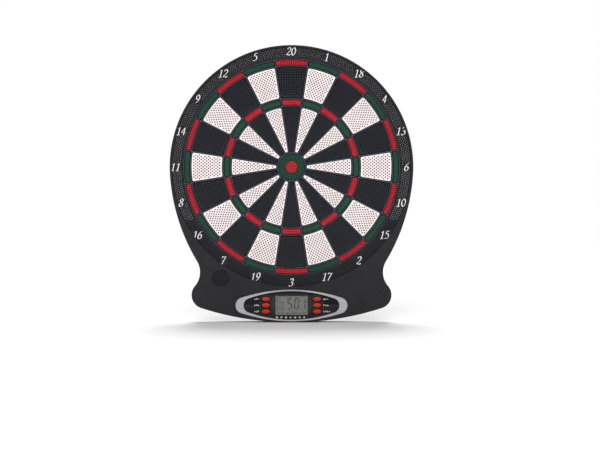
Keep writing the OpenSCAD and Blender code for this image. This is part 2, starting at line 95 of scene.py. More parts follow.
SEGMENT_BACK, SEGMENT_FRONT = depth_of("bed_20")
WEB_BACK, WEB_FRONT = depth_of("spider_web")
RING_BACK, RING_FRONT = depth_of("number_ring")
CASE_BACK, CASE_FRONT = depth_of("front_housing")
FASCIA_BACK, FASCIA_FRONT = depth_of("control_panel")
TRIM_FRONT = depth_of("trim_ring")[1]
PANEL_Z = (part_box("control_panel")[0][2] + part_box("control_panel")[1][2]) / 2 / MM
BUTTON_X, BUTTON_ROWS, BUTTON_PITCH = 41.0, 3, 10.0

# ---- front-view loops ---------------------------------------------------------------------


def polar(radius, angle, centre=(0, 0)):
    """A point at an angle measured clockwise from straight up."""
    a = math.radians(angle)
    return (centre[0] + radius * math.sin(a), centre[1] + radius * math.cos(a))


def arc(centre, radius, start, end, step):
    count = max(1, math.ceil(abs(end - start) / step))
    return [polar(radius, start + (end - start) * i / count, centre) for i in range(count + 1)]


def circle(radius, centre=(0, 0), count=144, turn=0):
    return [polar(radius, turn + 360 * i / count, centre) for i in range(count)]


def turned(loop, angle):
    """The loop turned clockwise about the bull."""
    c, s = math.cos(math.radians(angle)), math.sin(math.radians(angle))
    return [(x * c + z * s, z * c - x * s) for x, z in loop]


def moved(loop, dx, dz):
    return [(x + dx, z + dz) for x, z in loop]


def area(loop):
    return sum(a[0] * b[1] - b[0] * a[1] for a, b in zip(loop, loop[1:] + loop[:1])) / 2


def inset(loop, by):
    """The loop moved inwards by a distance, or outwards if it is negative."""
    if by == 0:
        return list(loop)
    side = 1 if area(loop) > 0 else -1
    out = []
    count = len(loop)
    for i, p in enumerate(loop):
        before = Vector(p) - Vector(loop[i - 1])
        after = Vector(loop[(i + 1) % count]) - Vector(p)
        before.normalize()
        after.normalize()
        n0 = Vector((-before.y, before.x)) * side
        n1 = Vector((-after.y, after.x)) * side
        middle = (n0 + n1).normalized()
        reach = by / max(0.5, middle.dot(n0))
        out.append((p[0] + middle.x * reach, p[1] + middle.y * reach))
    return out


def blunted(corner, before, after, cut, steps=4):
    """Points that round a corner off, starting and ending a distance cut from it."""
    p = Vector(corner)
    a = p + (Vector(before) - p).normalized() * cut
    b = p + (Vector(after) - p).normalized() * cut
    points = []
    for i in range(steps + 1):
        t = i / steps
        points.append(tuple(a * (1 - t) ** 2 + p * 2 * t * (1 - t) + b * t ** 2))
    return points


def rounded(corners, cut, steps=4):
    """A polygon with all its corners rounded off."""
    loop = []
    for i, p in enumerate(corners):
        loop += blunted(p, corners[i - 1], corners[(i + 1) % len(corners)], cut, steps)
    return loop


def rectangle(width, height, centre=(0, 0)):
    x, z = width / 2, height / 2
    return moved([(-x, -z), (x, -z), (x, z), (-x, z)], *centre)


def sector(r0, r1, gap, cut, steps=4, half=SECTOR / 2):
    """Part of a ring astride straight up, kept a gap clear of its neighbours, with rounded corners."""
    inner, outer = r0 + gap, r1 - gap
    a_in = half - math.degrees(math.asin(gap / inner))
    a_out = half - math.degrees(math.asin(gap / outer))
    c_in = min(cut, inner * math.radians(a_in) * 0.9)
    loop = []
    for sign in (-1, 1):
        corner = polar(outer, sign * a_out)
        along = polar(outer, sign * (a_out - 2))
        down = polar(inner, sign * a_in)
        points = blunted(corner, down, along, cut, steps)
        loop += points if sign < 0 else points[::-1]
        if sign < 0:
            trim = math.degrees(cut / outer)
            loop += arc((0, 0), outer, -a_out + trim, a_out - trim, 1.5)[1:-1]
    for sign in (1, -1):
        corner = polar(inner, sign * a_in)
        along = polar(inner, sign * (a_in - 1))
        up = polar(outer, sign * a_out)
        points = blunted(corner, up, along, c_in, steps)
        loop += points if sign > 0 else points[::-1]
        if sign > 0:
            trim = math.degrees(c_in / inner)
            if a_in - trim > 0.5:
                loop += arc((0, 0), inner, a_in - trim, trim - a_in, 2.5)[1:-1]
    return loop


def oval(half_x, half_z, end_step=7.5, side_step=2):
    """Oval of four arcs about the origin; the end radius grows with the height."""
    end_r = half_z * 0.52
    cx = half_x - end_r
    side_r = (cx * cx + half_z * half_z - end_r * end_r) / (2 * (half_z - end_r))
    meet = math.degrees(math.atan2(cx, side_r - half_z))
    top = arc((0, half_z - side_r), side_r, -meet, meet, side_step)
    right = arc((cx, 0), end_r, meet, 180 - meet, end_step)
    bottom = arc((0, side_r - half_z), side_r, 180 - meet, 180 + meet, side_step)
    left = arc((-cx, 0), end_r, 180 + meet, 360 - meet, end_step)
    return top[:-1] + right[:-1] + bottom[:-1] + left[:-1]


def ellipse(half_x, half_z, count=48):
    return [(half_x * x, half_z * z) for x, z in circle(1, count=count)]


# Arcs of the case outline
RIM_R, FLANK_START, FLANK_R = 195.0, 4.0, 310.0
WAIST_R, LOBE_R, LOBE, BASE_R = 34.0, 22.0, (138.0, -205.0), 470.0


def crossing(a, ra, b, rb):
    """Crossing point of two circles, on the left of the line from a to b."""
    a, b = Vector(a), Vector(b)
    v = b - a
    m = (ra * ra - rb * rb + v.length_squared) / (2 * v.length)
    u = v.normalized()
    return tuple(a + u * m + Vector((-u.y, u.x)) * math.sqrt(ra * ra - m * m))


def bearing(a, b):
    """Angle of the line from a to b, clockwise from straight up."""
    return math.degrees(math.atan2(b[0] - a[0], b[1] - a[1])) % 360


def case_outline(shrink=0):
    flank_c = polar(RIM_R - FLANK_R, 90 + FLANK_START)
    waist_c = crossing(flank_c, FLANK_R + WAIST_R, LOBE, LOBE_R + WAIST_R)
    base_c = (0, LOBE[1] + math.sqrt((BASE_R - LOBE_R) ** 2 - LOBE[0] ** 2))
    flank_a = bearing(flank_c, waist_c)
    waist_a = bearing(LOBE, waist_c)
    base_a = bearing(base_c, LOBE)
    right = arc((0, 0), RIM_R - shrink, 0, 90 + FLANK_START, 1.5)[1:-1]
    right += arc(flank_c, FLANK_R - shrink, 90 + FLANK_START, flank_a, 1)
    right += arc(waist_c, WAIST_R + shrink, flank_a + 180, waist_a + 180, 4)[1:-1]
    right += arc(LOBE, LOBE_R - shrink, waist_a, base_a, 5)
    right += arc(base_c, BASE_R - shrink, base_a, 180, 1)[1:-1]
    left = [(-x, z) for x, z in reversed(right)]
    return [(0, RIM_R - shrink)] + right + [(0, base_c[1] - BASE_R + shrink)] + left


# ---- meshes -------------------------------------------------------------------------------


def triangles(loops):
    """Triangles between an outer loop and the holes in it, as indices into the joined loops."""
    points, edges = [], []
    for loop in loops:
        start = len(points)
        points += [Vector(p) for p in loop]
        edges += [(start + i, start + (i + 1) % len(loop)) for i in range(len(loop))]
    outline = list(range(len(loops[0])))
    verts, _, faces, origins, _, _ = delaunay_2d_cdt(points, edges, [outline], 2, 1e-6)
    if not all(origins):
        bad = [tuple(round(c, 2) for c in v) for v, o in zip(verts, origins) if not o]
        raise ValueError(f"loops cross at {bad[:8]}")
    return [[origins[v][0] for v in f] for f in faces]


# An edge with no bevel
SHARP = ((0, 0),)
PIT_SIDES, PIT_TURN = 8, 22.5


class Solid:
    """Gathers closed shells, in millimetres, for one mesh."""

    def __init__(self):
        self.verts = []
        self.faces = []

    def ring(self, loop, depth):
        start = len(self.verts)
        self.verts += [(x, -depth, z) for x, z in loop]
        return list(range(start, len(self.verts)))

    def bridge(self, a, b):
        count = len(a)
        for i in range(count):
            j = (i + 1) % count
            self.faces.append((a[i], a[j], b[j], b[i]))

    def cap(self, rings):
        order = [i for ring in rings for i in ring]
        loops = [[(self.verts[i][0], self.verts[i][2]) for i in ring] for ring in rings]
        self.faces += [tuple(order[i] for i in f) for f in triangles(loops)]

    def plate(self, outer, holes, back, front, edge=SHARP, hole_edge=SHARP):
        """A plate with through holes.

        An edge is a list of (inset, drop) steps from the front face down its side.
        """
        fronts, backs = [], []
        for number, loop in enumerate([outer] + list(holes)):
            sign = 1 if number == 0 else -1
            steps = edge if number == 0 else hole_edge
            rings = [self.ring(inset(loop, sign * i), front - d) for i, d in steps]
            rings.append(self.ring(loop, back))
            for a, b in zip(rings, rings[1:]):
                self.bridge(a, b)
            fronts.append(rings[0])
            backs.append(rings[-1])
        self.cap(fronts)
        self.cap(backs)

    def pierced(self, outer, spots, radius, back, front, edge, pit):
        """A plate with blind pits for dart tips at the given spots.

        A pit is a list of (share of the radius, depth) steps from the face down.
        """
        rings = [self.ring(inset(outer, i), front - d) for i, d in edge]
        rings.append(self.ring(outer, back))
        for a, b in zip(rings, rings[1:]):
            self.bridge(a, b)
        fronts = [rings[0]]
        for spot in spots:
            walls = []
            for share, d in pit:
                walls.append(self.ring(circle(radius * share, spot, PIT_SIDES, PIT_TURN), front - d))
            for a, b in zip(walls, walls[1:]):
                self.bridge(a, b)
            self.faces.append(tuple(walls[-1]))
            fronts.append(walls[0])
        self.cap(fronts)
        self.cap([rings[-1]])

    def dome(self, levels):
        """A closed boss through loops of equal length: levels are (loop, depth) from the foot up."""
        rings = [self.ring(loop, depth) for loop, depth in levels]
        for a, b in zip(rings, rings[1:]):
            self.bridge(a, b)
        self.cap([rings[0]])
        self.cap([rings[-1]])

    def build(self, name, material, body, replaced=(), sharp=40):
        mesh = bpy.data.meshes.new(name)
        mesh.from_pydata([(x * MM, y * MM, z * MM) for x, y, z in self.verts], [], self.faces)
        work = bmesh.new()
        work.from_mesh(mesh)
        bmesh.ops.recalc_face_normals(work, faces=work.faces)
        work.to_mesh(mesh)
        work.free()
        mesh.materials.append(material)
        obj = bpy.data.objects.new(name, mesh)
        bpy.context.scene.collection.objects.link(obj)
        shade(obj, sharp)
        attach(obj, body)
        if replaced:
            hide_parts(*replaced)
        return obj


def shade(obj, sharp):
    """Smooth shading, with edges sharper than the angle left crisp."""
    mesh = obj.data
    mesh.shade_smooth()
    work = bmesh.new()
    work.from_mesh(mesh)
    limit = math.radians(sharp)
    for e in work.edges:
        if len(e.link_faces) == 2 and e.calc_face_angle(0) > limit:
            e.smooth = False
    work.to_mesh(mesh)
    work.free()


# ---- materials ----------------------------------------------------------------------------


class Nodes:
    """A short way to write a material's node tree."""

    def __init__(self, name):
        self.material = bpy.data.materials.new(name)
        self.material.use_nodes = True
        self.tree = self.material.node_tree
        self.shader = self.tree.nodes["Principled BSDF"]
        self.place = self.add("ShaderNodeTexCoord").outputs["Object"]

    def add(self, kind, **values):
        node = self.tree.nodes.new(kind)
        for key, value in values.items():
            setattr(node, key, value)
        return node

    def link(self, a, b):
        self.tree.links.new(a, b)

    def noise(self, scale, detail=2.0, stretch=(1, 1, 1)):
        mapping = self.add("ShaderNodeMapping")
        mapping.inputs["Scale"].default_value = stretch
        self.link(self.place, mapping.inputs["Vector"])
        noise = self.add("ShaderNodeTexNoise")
        noise.inputs["Scale"].default_value = scale
        noise.inputs["Detail"].default_value = detail
        self.link(mapping.outputs["Vector"], noise.inputs["Vector"])
        return noise.outputs["Fac"]

    def ramp(self, source, stops):
        ramp = self.add("ShaderNodeValToRGB")
        self.link(source, ramp.inputs["Fac"])
        elements = ramp.color_ramp.elements
        while len(elements) < len(stops):
            elements.new(0.5)
        for element, (place, colour) in zip(elements, stops):
            element.position = place
            element.color = (*colour[:3], 1)
        return ramp.outputs["Color"]

    def span(self, source, low, high, to_low, to_high):
        node = self.add("ShaderNodeMapRange")
        for key, value in zip(("From Min", "From Max", "To Min", "To Max"), (low, high, to_low, to_high)):
            node.inputs[key].default_value = value
        self.link(source, node.inputs["Value"])
        return node.outputs["Result"]

    def mix(self, factor, a, b):
        node = self.add("ShaderNodeMix", data_type="RGBA")
        for value, socket in ((factor, node.inputs[0]), (a, node.inputs[6]), (b, node.inputs[7])):
            if isinstance(value, bpy.types.NodeSocket):
                self.link(value, socket)
            else:
                socket.default_value = value if isinstance(value, float) else (*value[:3], 1)
        return node.outputs[2]

    def axis(self, which):
        split = self.add("ShaderNodeSeparateXYZ")
        self.link(self.place, split.inputs["Vector"])
        return split.outputs[which]

    def bump(self, height, strength, distance):
        node = self.add("ShaderNodeBump")
        node.inputs["Strength"].default_value = strength
        node.inputs["Distance"].default_value = distance
        self.link(height, node.inputs["Height"])
        self.link(node.outputs["Normal"], self.shader.inputs["Normal"])

    def colour(self, socket):
        self.link(socket, self.shader.inputs["Base Color"])

    def roughness(self, socket):
        self.link(socket, self.shader.inputs["Roughness"])

    def fixed(self, **values):
        for key, value in values.items():
            self.shader.inputs[key.replace("_", " ")].default_value = value
        return self


def srgb(r, g, b):
    """A linear colour from 0-255 display values."""
    def linear(v):
        v /= 255
        return v / 12.92 if v <= 0.04045 else ((v + 0.055) / 1.055) ** 2.4
    return tuple(linear(v) for v in (r, g, b))


def scaled(colour, factor):
    return tuple(min(1.0, c * factor) for c in colour)


def moulded(name, colour, rough=0.5, grain=2600, grain_depth=0.00006, variation=0.12, gloss_spread=0.08):
    """Moulded plastic: fine spark-eroded grain, faint mottling and slightly uneven gloss."""
    m = Nodes(name)
    mottle = m.noise(38, 3)
    dark, light = scaled(colour, 1 - variation), scaled(colour, 1 + variation)
    m.colour(m.ramp(mottle, [(0.3, dark), (0.7, light)]))
    m.roughness(m.span(m.noise(160, 2), 0.3, 0.7, rough - gloss_spread, rough + gloss_spread))
    m.bump(m.noise(grain, 2), 0.35, grain_depth)
    return m


def brushed(name, colour, rough, metallic, stretch):
    m = Nodes(name)
    lines = m.noise(900, 3, stretch)
    m.colour(m.ramp(lines, [(0.35, scaled(colour, 0.88)), (0.65, scaled(colour, 1.1))]))
    m.roughness(m.span(lines, 0.3, 0.7, rough - 0.08, rough + 0.1))
    m.bump(lines, 0.15, 0.00003)
    return m.fixed(Metallic=metallic)


def segment_material(name, face, pit, rough):
    """Satin segment plastic whose colour blends into painted shade down its dart holes and its sides."""
    painted_shade_start, painted_shade_full = 0.2, 1.8
    m = Nodes(name)
    mottle = m.ramp(m.noise(55, 3), [(0.3, scaled(face, 0.93)), (0.7, scaled(face, 1.05))])
    top, low = (painted_shade_start - SEGMENT_FRONT) * MM, (painted_shade_full - SEGMENT_FRONT) * MM
    down = m.span(m.axis("Y"), top, low, 0.0, 1.0)
    # The pit colour is painted shade, mixed in with depth below the segment face.
    m.colour(m.mix(down, mottle, pit))
    m.roughness(m.span(m.noise(140, 2), 0.3, 0.7, rough - 0.06, rough + 0.08))
    m.bump(m.noise(1800, 2), 0.2, 0.00004)
    return m.fixed(Specular_IOR_Level=0.35)


M = {
    "housing": moulded("housing_grain", srgb(38, 37, 40), 0.6, 1900, 0.00012),
    "ring": moulded("ring_black", srgb(34, 34, 37), 0.5),
    # The web is black plastic; its lighter blue-grey colour is a painted sheen.
    "web": moulded("web_gloss_painted_sheen", srgb(62, 68, 82), 0.3, 900, 0.00003),
    "fascia": moulded("fascia_gloss", srgb(23, 21, 23), 0.16, 500, 0.00001, 0.1, 0.04),
    "trim": brushed("trim_silver", srgb(184, 185, 190), 0.42, 0.3, (0.05, 1, 1)),
    # Each segment's second colour is the painted shade of its holes and sides.
    "red": segment_material("segment_red", srgb(192, 34, 48), srgb(40, 5, 8), 0.42),
    "green": segment_material("segment_green", srgb(36, 78, 59), srgb(3, 8, 6), 0.42),
    "black": segment_material("segment_black", srgb(32, 33, 39), srgb(5, 5, 7), 0.46),
    "white": segment_material("segment_white", srgb(246, 234, 233), srgb(128, 52, 58), 0.4),
    "print": moulded("printed_white", srgb(238, 238, 238), 0.5, 1500, 0.00002, 0.04),
    "lcd": moulded("lcd_glass", srgb(100, 100, 90), 0.4, 300, 0.000005, 0.07, 0.04),
    "lcd_ink": moulded("lcd_ink", srgb(30, 28, 40), 0.5, 300, 0.000005),
    "lcd_faint": moulded("lcd_ink_faint", srgb(52, 52, 52), 0.5, 300, 0.000005),
    "steel": brushed("zinc_steel", srgb(176, 178, 182), 0.34, 1.0, (1, 1, 0.1)),
    "nickel": brushed("nickel_plate", srgb(204, 204, 200), 0.22, 1.0, (1, 0.2, 1)),
    "rubber": moulded("mat_rubber", srgb(40, 40, 42), 0.85, 700, 0.0001),
    "black_part": moulded("black_part", srgb(34, 34, 37), 0.5),
    "white_part": moulded("white_part", srgb(222, 222, 218), 0.5),
    "zebra": moulded("zebra_rubber", srgb(196, 150, 150), 0.7),
    "keys": moulded("key_rubber", srgb(140, 140, 144), 0.7),
    "magnet": moulded("ferrite", srgb(66, 66, 70), 0.5, 500, 0.00008),
    "cone": moulded("speaker_film", srgb(58, 54, 50), 0.55),
}
M["housing"].fixed(Specular_IOR_Level=0.3)
M["ring"].fixed(Specular_IOR_Level=0.3)
M["web"].fixed(Coat_Weight=0.2, Coat_Roughness=0.15)
M["fascia"].fixed(Specular_IOR_Level=0.3, Coat_Weight=0.15, Coat_Roughness=0.06)
M = {look: made.material for look, made in M.items()}


def film_material():
    """Clear film with printed silver tracks."""
    m = Nodes("printed_film")
    wave = m.add("ShaderNodeTexWave", wave_type="RINGS", rings_direction="Y")
    wave.inputs["Scale"].default_value = 60
    m.link(m.place, wave.inputs["Vector"])
    m.colour(m.ramp(wave.outputs["Fac"], [(0.8, srgb(206, 208, 198)), (0.86, srgb(150, 152, 150))]))
    return m.fixed(Roughness=0.3).material


def board_material():
    """Pressed fibreboard: fine fibres and flecks."""
    m = Nodes("fibreboard")
    fibres = m.noise(500, 4, (1, 1, 0.35))
    browns = [(0.3, srgb(92, 66, 44)), (0.55, srgb(124, 92, 62)), (0.75, srgb(146, 112, 80))]
    m.colour(m.ramp(fibres, browns))
    m.bump(fibres, 0.3, 0.0001)
    return m.fixed(Roughness=0.75).material


def circuit_material():
    """Green solder mask with lighter copper tracks under it."""
    m = Nodes("circuit_mask")
    bricks = m.add("ShaderNodeTexBrick")
    bricks.inputs["Scale"].default_value = 160
    bricks.inputs["Mortar Size"].default_value = 0.06
    bricks.inputs["Color1"].default_value = (*srgb(22, 84, 48), 1)
    bricks.inputs["Color2"].default_value = (*srgb(18, 76, 42), 1)
    bricks.inputs["Mortar"].default_value = (*srgb(60, 128, 74), 1)
    turn = m.add("ShaderNodeMapping")
    turn.inputs["Rotation"].default_value = (math.radians(90), 0, 0)
    m.link(m.place, turn.inputs["Vector"])
    m.link(turn.outputs["Vector"], bricks.inputs["Vector"])
    m.colour(bricks.outputs["Color"])
    m.bump(bricks.outputs["Fac"], 0.2, 0.00004)
    return m.fixed(Roughness=0.3).material


def battery_material():
    """Printed cell sleeve: graphite with a copper band at the button end."""
    m = Nodes("battery_sleeve")
    low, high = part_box("batteries")
    along = m.span(m.axis("Z"), low[2], high[2], 0.0, 1.0)
    bands = m.ramp(along, [
        (0.0, srgb(170, 172, 174)), (0.03, srgb(46, 50, 54)), (0.7, srgb(40, 44, 48)),
        (0.72, srgb(188, 112, 58)), (0.965, srgb(196, 120, 64)), (0.98, srgb(190, 192, 194)),
    ])
    m.colour(m.mix(m.span(m.noise(60, 2), 0.3, 0.7, 0.0, 0.12), bands, srgb(110, 110, 112)))
    return m.fixed(Metallic=0.35, Roughness=0.32).material


def wire_material():
    """One red and one black lead; which is which follows from the height of each."""
    change_z = -218.0
    m = Nodes("wire_insulation")
    height = m.span(m.axis("Z"), (change_z - 0.5) * MM, (change_z + 0.5) * MM, 0.0, 1.0)
    side = m.ramp(height, [(0.49, srgb(28, 28, 30)), (0.51, srgb(168, 28, 26))])
    m.colour(m.mix(m.span(m.noise(300, 2), 0.3, 0.7, 0.0, 0.15), side, srgb(90, 80, 80)))
    return m.fixed(Roughness=0.45).material


def window_material():
    """Clear, very slightly green plastic."""
    m = Nodes("clear_window")
    m.colour(m.ramp(m.noise(20, 1), [(0.3, srgb(226, 232, 228)), (0.7, srgb(238, 242, 238))]))
    return m.fixed(Roughness=0.05, Alpha=0.04).material


def button_material():
    """Glossy moulding with painted light: orange at the top of each button and redder towards the bottom.
    """
    m = Nodes("button_gloss")
    row = m.add("ShaderNodeMath", operation="FRACT")
    reach = BUTTON_ROWS * BUTTON_PITCH / 2
    rows_up = m.span(m.axis("Z"), (PANEL_Z - reach) * MM, (PANEL_Z + reach) * MM, 0.0, BUTTON_ROWS)
    m.link(rows_up, row.inputs[0])
    # Painted light: lighter orange at the top of each button where light falls, darker red towards its
    # bottom.
    painted_top_light = m.ramp(row.outputs[0], [(0.22, srgb(146, 18, 16)), (0.8, srgb(196, 62, 28))])
    m.colour(m.mix(m.span(m.noise(140, 2), 0.3, 0.7, 0.0, 0.12), painted_top_light, srgb(150, 28, 18)))
    m.bump(m.noise(700, 2), 0.2, 0.00001)
    return m.fixed(Roughness=0.28, Specular_IOR_Level=0.35, Coat_Weight=0.2, Coat_Roughness=0.1).material


M["film"] = film_material()
M["board"] = board_material()
M["circuit"] = circuit_material()
M["battery"] = battery_material()
M["wire"] = wire_material()
M["window"] = window_material()
M["button"] = button_material()

CAD_LOOKS = {
    "rear_housing": "housing", "battery_door": "housing", "rubber_mat": "rubber",
    "upper_film": "film", "spacer_film": "film", "lower_film": "film", "tail_clamp": "black_part",
    "backing_board": "board", "lcd_frame": "white_part", "zebra_strip": "zebra",
    "key_pad": "keys", "circuit_board": "circuit", "circuit_parts": "black_part",
    "speaker_basket": "steel", "speaker_magnet": "magnet", "speaker_cone": "cone",
    "speaker_clamp": "black_part", "battery_plates": "nickel", "batteries": "battery",
    "housing_screws": "steel", "board_screws": "steel", "inner_screws": "steel",
    "battery_leads": "wire", "speaker_leads": "wire",
}
for name, look in CAD_LOOKS.items():
    for part in nodes[name].material_slots:
        part.material = M[look]

# ---- target -------------------------------------------------------------------------------

SOFT_EDGE = ((0.45, 0), (0.15, 0.1), (0, 0.42))
PIT = ((1.15, 0), (1.0, 0.2), (0.92, 2.2), (0.8, 6.0))
SINGLE_CUT, SCORING_CUT = 2.4, 1.4
SCORING_HOLE_R, SCORING_PITCH = 0.84, 3.5
# Of the dark and the light singles: hole radius, and pitch across and along the segment
DARK_HOLES, LIGHT_HOLES = (1.0, 3.9, 3.95), (1.15, 4.7, 2.96)


def clear_of_edge(radius):
    """How far a pit's centre stays from the side of its segment, before any slack."""
    return radius * PIT[0][0] + SOFT_EDGE[0][0]


def spots_in(r0, r1, staggered, pitch_u, pitch_v, margin):
    """Places for dart holes in a segment: straight columns, or rows that are staggered."""
    inner, outer = r0 + SEGMENT_GAP + margin, r1 - SEGMENT_GAP - margin
    middle = (r0 + r1) / 2
    spots = []
    rows = int((outer - inner) / pitch_v / 2) + 2
    for row in range(-rows, rows + 1):
        shift = 0.5 if staggered and row % 2 else 0.0
        for column in range(-12, 13):
            u, v = (column + shift) * pitch_u, middle + row * pitch_v
            radius = math.hypot(u, v)
            lean = math.radians(SECTOR / 2) - abs(math.atan2(u, v))
            if inner <= radius <= outer and radius * math.sin(lean) >= SEGMENT_GAP + margin:
                spots.append((u, v))
    return spots


def spots_along(r0, r1, staggered, pitch, margin):
    """Three rows of dart holes that follow a scoring ring."""
    middle, rise = (r0 + r1) / 2, (r1 - r0) / 2 - SEGMENT_GAP - margin
    spots = []
    for row in (-1, 0, 1):
        radius = middle + row * rise
        shift = 0.5 if staggered and row else 0.0
        for column in range(-9, 10):
            angle = math.degrees((column + shift) * pitch / middle)
            lean = math.radians(SECTOR / 2 - abs(angle))
            if lean > 0 and radius * math.sin(lean) >= SEGMENT_GAP + margin:
                spots.append(polar(radius, angle))
    return spots


RING_NAMES = ["inner", "triple", "outer", "double"]
for k, number in enumerate(NUMBERS):
    dark = k % 2 == 0
    for s, ring_name in enumerate(RING_NAMES):
        r0, r1 = WEB_RADII[s], WEB_RADII[s + 1]
        scoring = s % 2 == 1
        if scoring:
            segment_cut, hole_r = SCORING_CUT, SCORING_HOLE_R
            spots = spots_along(r0, r1, not dark, SCORING_PITCH, clear_of_edge(hole_r) + 0.05)
        else:
            segment_cut = SINGLE_CUT
            hole_r, *pitch = DARK_HOLES if dark else LIGHT_HOLES
            spots = spots_in(r0, r1, not dark, *pitch, clear_of_edge(hole_r) + 0.1)
        look = ("red" if dark else "green") if scoring else ("black" if dark else "white")
        segment = Solid()
        loop = turned(sector(r0, r1, SEGMENT_GAP, segment_cut), k * SECTOR)
        spots = turned(spots, k * SECTOR)
        segment.pierced(loop, spots, hole_r, SEGMENT_BACK, SEGMENT_FRONT, SOFT_EDGE, PIT)
        segment.build(
            f"bed_{number}_{ring_name}", M[look], f"bed_{number}",
            [f"bed_{number}"] if s == 0 else (), 50,
        )

CREST = ((0.5, 0), (0.22, 0.12), (0, 0.6))
CELL_CUT = 1.2
WEB_OUT_R, WEB_LIP_R, WEB_LIP_H = WEB_RADII[4] + 0.6, 174.2, 1.9
web = Solid()
cells = [circle(WEB_RADII[0] - WEB_HALF, count=96)]
for k in range(len(NUMBERS)):
    for s in range(4):
        cell = sector(WEB_RADII[s], WEB_RADII[s + 1], WEB_HALF, CELL_CUT, 3)
        cells.append(turned(cell, k * SECTOR))
web.plate(circle(WEB_OUT_R, count=240), cells, WEB_BACK, WEB_FRONT, CREST, CREST)
web.plate(
    circle(WEB_LIP_R, count=240), [circle(WEB_RADII[4] + 0.2, count=240)],
    WEB_BACK, WEB_BACK + WEB_LIP_H, ((0.4, 0), (0, 0.4)),
)
web.build("web_rings_and_spokes", M["web"], "case", ["spider_web"], 50)

# Rows of dart holes in the bull and the outer bull: radius of the row, number of holes
BULL_ROWS, BULL_HOLE_R = [(3.3, 5), (6.5, 10)], 0.95
OUTER_BULL_ROWS, OUTER_BULL_HOLE_R = [(12.7, 19), (15.6, 23), (18.5, 28)], 1.1
BULL_EDGE, BULL_HOLE_EDGE = ((0.8, 0), (0.35, 0.12), (0.1, 0.35), (0, 0.7)), ((0.22, 0), (0, 0.25))
bull_low, bull_high = depth_of("bullseye")
bull = Solid()
bull_holes = [circle(BULL_HOLE_R, (0, 0), 12)]
for row_r, count in BULL_ROWS:
    bull_holes += [circle(BULL_HOLE_R, polar(row_r, 360 / count * k), 12) for k in range(count)]
bull.plate(circle(BULL_R, count=72), bull_holes, bull_low, bull_high, BULL_EDGE, BULL_HOLE_EDGE)
bull.build("bullseye_cap", M["red"], "bullseye", ["bullseye"], 50)

# The collar stands inside the outer bull and carries a thin lip round the bull
COLLAR_R, COLLAR_IN_R, COLLAR_DROP = OUTER_BULL_IN_R + 0.05, 9.4, 1.6
LIP_R, LIP_FOOT, LIP_RISE = 10.05, 5, 0.1
LIP_EDGE = ((0.2, 0), (0, 0.25))
outer_bull = Solid()
outer_low, outer_high = depth_of("outer_bull")
holes = [circle(OUTER_BULL_IN_R, count=72)]
for row, (row_r, count) in enumerate(OUTER_BULL_ROWS):
    for i in range(count):
        holes.append(circle(OUTER_BULL_HOLE_R, polar(row_r, 360 / count * (i + row / 2)), 10))
outer_bull.plate(circle(OUTER_BULL_R, count=96), holes, outer_low, outer_high, SOFT_EDGE, LIP_EDGE)
inside = [circle(COLLAR_IN_R, count=72)]
outer_bull.plate(circle(COLLAR_R, count=72), inside, outer_low, outer_high - COLLAR_DROP)
outer_bull.plate(
    circle(LIP_R, count=72), inside, outer_low + LIP_FOOT, outer_high + LIP_RISE,
    LIP_EDGE, ((0.15, 0), (0, 0.2)),
)
outer_bull.build("outer_bull_ring", M["green"], "outer_bull", ["outer_bull"], 50)

# ---- numerals -----------------------------------------------------------------------------

# Pen paths of the digits in a box one unit high; each path is a chain of points for a smooth curve
DIGITS = {
    "0": [
        [
            (0.30, 1.00), (0.08, 0.78), (0.06, 0.35), (0.26, 0.00), (0.46, 0.20), (0.50, 0.66),
            (0.30, 1.00),
        ],
    ],
    "1": [
        [(0.10, 0.80), (0.24, 0.88), (0.34, 1.00)],
        [(0.34, 1.00), (0.31, 0.50), (0.28, 0.00)],
        [(0.10, 0.00), (0.28, 0.00), (0.46, 0.00)],
    ],
    "2": [
        [
            (0.08, 0.76), (0.16, 0.96), (0.36, 0.98), (0.48, 0.76), (0.36, 0.48), (0.14, 0.20),
            (0.02, 0.03),
        ],
        [(0.02, 0.03), (0.26, 0.06), (0.46, 0.00), (0.52, 0.14)],
    ],
    "3": [
        [(0.10, 0.84), (0.24, 1.00), (0.44, 0.92), (0.44, 0.68), (0.22, 0.54)],
        [(0.22, 0.54), (0.46, 0.46), (0.48, 0.18), (0.26, 0.00), (0.04, 0.10)],
    ],
    "4": [
        [(0.40, 1.00), (0.22, 0.66), (0.02, 0.30)],
        [(0.02, 0.30), (0.28, 0.30), (0.54, 0.30)],
        [(0.40, 1.00), (0.37, 0.50), (0.34, 0.00)],
    ],
    "5": [
        [(0.50, 0.98), (0.34, 0.96), (0.18, 0.96)],
        [(0.18, 0.96), (0.14, 0.76), (0.10, 0.58)],
        [(0.10, 0.58), (0.34, 0.62), (0.48, 0.36), (0.34, 0.06), (0.02, 0.04)],
    ],
    "6": [
        [
            (0.46, 0.98), (0.22, 0.78), (0.06, 0.42), (0.10, 0.08), (0.28, 0.00), (0.46, 0.14),
            (0.46, 0.42), (0.30, 0.56), (0.10, 0.42),
        ],
    ],
    "7": [
        [(0.06, 0.84), (0.12, 0.98), (0.32, 0.94), (0.54, 0.98)],
        [(0.54, 0.98), (0.34, 0.50), (0.20, 0.00)],
    ],
    "8": [
        [
            (0.44, 0.84), (0.30, 1.00), (0.12, 0.86), (0.18, 0.62), (0.40, 0.44), (0.48, 0.20),
            (0.30, 0.00), (0.08, 0.10), (0.10, 0.34), (0.28, 0.54), (0.46, 0.70), (0.44, 0.84),
        ],
    ],
    "9": [
        [
            (0.48, 0.58), (0.30, 0.42), (0.12, 0.56), (0.12, 0.84), (0.28, 1.00), (0.46, 0.90),
            (0.50, 0.56), (0.34, 0.20), (0.10, 0.00),
        ],
    ],
}
NIB = Vector((math.cos(math.radians(25)), math.sin(math.radians(25))))
SLANT = 0.2


